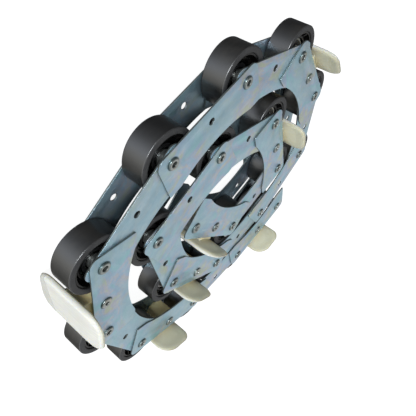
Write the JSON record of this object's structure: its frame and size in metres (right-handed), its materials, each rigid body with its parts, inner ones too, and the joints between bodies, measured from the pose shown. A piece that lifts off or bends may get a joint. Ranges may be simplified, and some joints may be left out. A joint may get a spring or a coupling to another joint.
{
  "type": "reversing roller chain",
  "caption": "Coiled newel roller chain for an escalator handrail: hinged steel side plates, ball-bearing rollers and nylon guide shoes.",
  "frame": {"origin": "on the axis of the tubular pin at the inner end of the coil, midway between the side plates", "axes": "+Z along the hinge pins; +X along the innermost link, from its end pin to its first roller; +Y towards the inside of the coil"},
  "size_m": [0.2871, 0.2975, 0.058],
  "materials": {
    "zinc_plate": "pale blue zinc plating, satin",
    "pin_steel": "plated steel, satin",
    "roller_polymer": "charcoal, satin",
    "shoe_nylon": "ivory nylon, satin"
  },
  "bodies": {
    "link_01": {"link_01_plates": "zinc_plate", "link_01_pins": "pin_steel", "link_01_shoe": "shoe_nylon", "inner_end_tube": "pin_steel"},
    "link_02": {"link_02_plates": "zinc_plate"},
    "link_03": {"link_03_plates": "zinc_plate", "link_03_pins": "pin_steel", "link_03_shoe": "shoe_nylon"},
    "link_04": {"link_04_plates": "zinc_plate"},
    "link_05": {"link_05_plates": "zinc_plate", "link_05_pins": "pin_steel"},
    "link_06": {"link_06_plates": "zinc_plate"},
    "link_07": {"link_07_plates": "zinc_plate", "link_07_pins": "pin_steel", "link_07_shoe": "shoe_nylon"},
    "link_08": {"link_08_plates": "zinc_plate"},
    "link_09": {"link_09_plates": "zinc_plate", "link_09_pins": "pin_steel"},
    "link_10": {"link_10_plates": "zinc_plate"},
    "link_11": {"link_11_plates": "zinc_plate", "link_11_pins": "pin_steel", "link_11_shoe": "shoe_nylon"},
    "link_12": {"link_12_plates": "zinc_plate"},
    "link_13": {"link_13_plates": "zinc_plate", "link_13_pins": "pin_steel"},
    "link_14": {"link_14_plates": "zinc_plate"},
    "link_15": {"link_15_plates": "zinc_plate", "link_15_pins": "pin_steel", "link_15_shoe": "shoe_nylon"},
    "link_16": {"link_16_plates": "zinc_plate"},
    "link_17": {"link_17_plates": "zinc_plate", "link_17_pins": "pin_steel", "link_17_shoe": "shoe_nylon"},
    "link_18": {"link_18_plates": "zinc_plate"},
    "link_19": {"link_19_plates": "zinc_plate", "link_19_pins": "pin_steel", "link_19_shoe": "shoe_nylon", "outer_end_tube": "pin_steel"},
    "roller_01": {"roller_01": "roller_polymer"},
    "roller_02": {"roller_02": "roller_polymer"},
    "roller_03": {"roller_03": "roller_polymer"},
    "roller_04": {"roller_04": "roller_polymer"},
    "roller_05": {"roller_05": "roller_polymer"},
    "roller_06": {"roller_06": "roller_polymer"},
    "roller_07": {"roller_07": "roller_polymer"},
    "roller_08": {"roller_08": "roller_polymer"},
    "roller_09": {"roller_09": "roller_polymer"},
    "roller_10": {"roller_10": "roller_polymer"},
    "roller_11": {"roller_11": "roller_polymer"},
    "roller_12": {"roller_12": "roller_polymer"},
    "roller_13": {"roller_13": "roller_polymer"},
    "roller_14": {"roller_14": "roller_polymer"},
    "roller_15": {"roller_15": "roller_polymer"},
    "roller_16": {"roller_16": "roller_polymer"},
    "roller_17": {"roller_17": "roller_polymer"},
    "roller_18": {"roller_18": "roller_polymer"}
  },
  "joints": [
    {"name": "hinge_01", "type": "hinge", "parent": "link_02", "child": "link_01", "pos_m": [0.07, 0, 0], "axis": [0, 0, 1], "range_deg": [0, 63]},
    {"name": "hinge_02", "type": "hinge", "parent": "link_03", "child": "link_02", "pos_m": [0.10178, 0.06237, 0], "axis": [0, 0, 1], "range_deg": [0, 90]},
    {"name": "hinge_03", "type": "hinge", "parent": "link_04", "child": "link_03", "pos_m": [0.03941, 0.09415, 0], "axis": [0, 0, 1], "range_deg": [0, 60]},
    {"name": "hinge_04", "type": "hinge", "parent": "link_05", "child": "link_04", "pos_m": [-0.0193, 0.05602, 0], "axis": [0, 0, 1], "range_deg": [0, 35]},
    {"name": "hinge_05", "type": "hinge", "parent": "link_06", "child": "link_05", "pos_m": [-0.04324, -0.00975, 0], "axis": [0, 0, 1], "range_deg": [0, 70]},
    {"name": "hinge_06", "type": "hinge", "parent": "link_07", "child": "link_06", "pos_m": [0.01339, -0.0509, 0], "axis": [0, 0, 1], "range_deg": [0, 39]},
    {"name": "hinge_07", "type": "hinge", "parent": "link_08", "child": "link_07", "pos_m": [0.08271, -0.04116, 0], "axis": [0, 0, 1], "range_deg": [0, 44]},
    {"name": "hinge_08", "type": "hinge", "parent": "link_09", "child": "link_08", "pos_m": [0.12484, 0.01475, 0], "axis": [0, 0, 1], "range_deg": [0, 21]},
    {"name": "hinge_09", "type": "hinge", "parent": "link_10", "child": "link_09", "pos_m": [0.14058, 0.08295, 0], "axis": [0, 0, 1], "range_deg": [0, 47]},
    {"name": "hinge_10", "type": "hinge", "parent": "link_10", "child": "link_11", "pos_m": [0.09109, 0.13245, 0], "axis": [0, 0, 1], "range_deg": [-19, 0]},
    {"name": "hinge_11", "type": "hinge", "parent": "link_11", "child": "link_12", "pos_m": [0.02195, 0.1434, 0], "axis": [0, 0, 1], "range_deg": [-22, 0]},
    {"name": "hinge_12", "type": "hinge", "parent": "link_12", "child": "link_13", "pos_m": [-0.03676, 0.10528, 0], "axis": [0, 0, 1], "range_deg": [-16, 0]},
    {"name": "hinge_13", "type": "hinge", "parent": "link_13", "child": "link_14", "pos_m": [-0.07176, 0.04466, 0], "axis": [0, 0, 1], "range_deg": [-11, 0]},
    {"name": "hinge_14", "type": "hinge", "parent": "link_14", "child": "link_15", "pos_m": [-0.0875, -0.02355, 0], "axis": [0, 0, 1], "range_deg": [-58, 0]},
    {"name": "hinge_15", "type": "hinge", "parent": "link_15", "child": "link_16", "pos_m": [-0.04736, -0.08089, 0], "axis": [0, 0, 1], "range_deg": [-48, 0]},
    {"name": "hinge_16", "type": "hinge", "parent": "link_16", "child": "link_17", "pos_m": [0.01529, -0.11213, 0], "axis": [0, 0, 1], "range_deg": [-72, 0]},
    {"name": "hinge_17", "type": "hinge", "parent": "link_17", "child": "link_18", "pos_m": [0.07996, -0.08534, 0], "axis": [0, 0, 1], "range_deg": [-35, 0]},
    {"name": "hinge_18", "type": "hinge", "parent": "link_18", "child": "link_19", "pos_m": [0.12989, -0.03627, 0], "axis": [0, 0, 1], "range_deg": [-13, 0]},
    {"name": "spin_01", "type": "hinge", "parent": "link_01", "child": "roller_01", "pos_m": [0.07, 0, 0], "axis": [0, 0, 1], "continuous": true},
    {"name": "spin_02", "type": "hinge", "parent": "link_03", "child": "roller_02", "pos_m": [0.10178, 0.06237, 0], "axis": [0, 0, 1], "continuous": true},
    {"name": "spin_03", "type": "hinge", "parent": "link_03", "child": "roller_03", "pos_m": [0.03941, 0.09415, 0], "axis": [0, 0, 1], "continuous": true},
    {"name": "spin_04", "type": "hinge", "parent": "link_05", "child": "roller_04", "pos_m": [-0.0193, 0.05602, 0], "axis": [0, 0, 1], "continuous": true},
    {"name": "spin_05", "type": "hinge", "parent": "link_05", "child": "roller_05", "pos_m": [-0.04324, -0.00975, 0], "axis": [0, 0, 1], "continuous": true},
    {"name": "spin_06", "type": "hinge", "parent": "link_07", "child": "roller_06", "pos_m": [0.01339, -0.0509, 0], "axis": [0, 0, 1], "continuous": true},
    {"name": "spin_07", "type": "hinge", "parent": "link_07", "child": "roller_07", "pos_m": [0.08271, -0.04116, 0], "axis": [0, 0, 1], "continuous": true},
    {"name": "spin_08", "type": "hinge", "parent": "link_09", "child": "roller_08", "pos_m": [0.12484, 0.01475, 0], "axis": [0, 0, 1], "continuous": true},
    {"name": "spin_09", "type": "hinge", "parent": "link_09", "child": "roller_09", "pos_m": [0.14058, 0.08295, 0], "axis": [0, 0, 1], "continuous": true},
    {"name": "spin_10", "type": "hinge", "parent": "link_11", "child": "roller_10", "pos_m": [0.09109, 0.13245, 0], "axis": [0, 0, 1], "continuous": true},
    {"name": "spin_11", "type": "hinge", "parent": "link_11", "child": "roller_11", "pos_m": [0.02195, 0.1434, 0], "axis": [0, 0, 1], "continuous": true},
    {"name": "spin_12", "type": "hinge", "parent": "link_13", "child": "roller_12", "pos_m": [-0.03676, 0.10528, 0], "axis": [0, 0, 1], "continuous": true},
    {"name": "spin_13", "type": "hinge", "parent": "link_13", "child": "roller_13", "pos_m": [-0.07176, 0.04466, 0], "axis": [0, 0, 1], "continuous": true},
    {"name": "spin_14", "type": "hinge", "parent": "link_15", "child": "roller_14", "pos_m": [-0.0875, -0.02355, 0], "axis": [0, 0, 1], "continuous": true},
    {"name": "spin_15", "type": "hinge", "parent": "link_15", "child": "roller_15", "pos_m": [-0.04736, -0.08089, 0], "axis": [0, 0, 1], "continuous": true},
    {"name": "spin_16", "type": "hinge", "parent": "link_17", "child": "roller_16", "pos_m": [0.01529, -0.11213, 0], "axis": [0, 0, 1], "continuous": true},
    {"name": "spin_17", "type": "hinge", "parent": "link_17", "child": "roller_17", "pos_m": [0.07996, -0.08534, 0], "axis": [0, 0, 1], "continuous": true},
    {"name": "spin_18", "type": "hinge", "parent": "link_19", "child": "roller_18", "pos_m": [0.12989, -0.03627, 0], "axis": [0, 0, 1], "continuous": true}
  ],
  "couplings": [
    {"joint": "hinge_01", "follows": "hinge_02", "ratio": 0.7},
    {"joint": "hinge_03", "follows": "hinge_02", "ratio": 0.66667},
    {"joint": "hinge_04", "follows": "hinge_02", "ratio": 0.38889},
    {"joint": "hinge_05", "follows": "hinge_02", "ratio": 0.77778},
    {"joint": "hinge_06", "follows": "hinge_02", "ratio": 0.43333},
    {"joint": "hinge_07", "follows": "hinge_02", "ratio": 0.48889},
    {"joint": "hinge_08", "follows": "hinge_02", "ratio": 0.23333},
    {"joint": "hinge_09", "follows": "hinge_02", "ratio": 0.52222},
    {"joint": "hinge_10", "follows": "hinge_02", "ratio": -0.21111},
    {"joint": "hinge_11", "follows": "hinge_02", "ratio": -0.24444},
    {"joint": "hinge_12", "follows": "hinge_02", "ratio": -0.17778},
    {"joint": "hinge_13", "follows": "hinge_02", "ratio": -0.12222},
    {"joint": "hinge_14", "follows": "hinge_02", "ratio": -0.64444},
    {"joint": "hinge_15", "follows": "hinge_02", "ratio": -0.53333},
    {"joint": "hinge_16", "follows": "hinge_02", "ratio": -0.8},
    {"joint": "hinge_17", "follows": "hinge_02", "ratio": -0.38889},
    {"joint": "hinge_18", "follows": "hinge_02", "ratio": -0.14444}
  ]
}
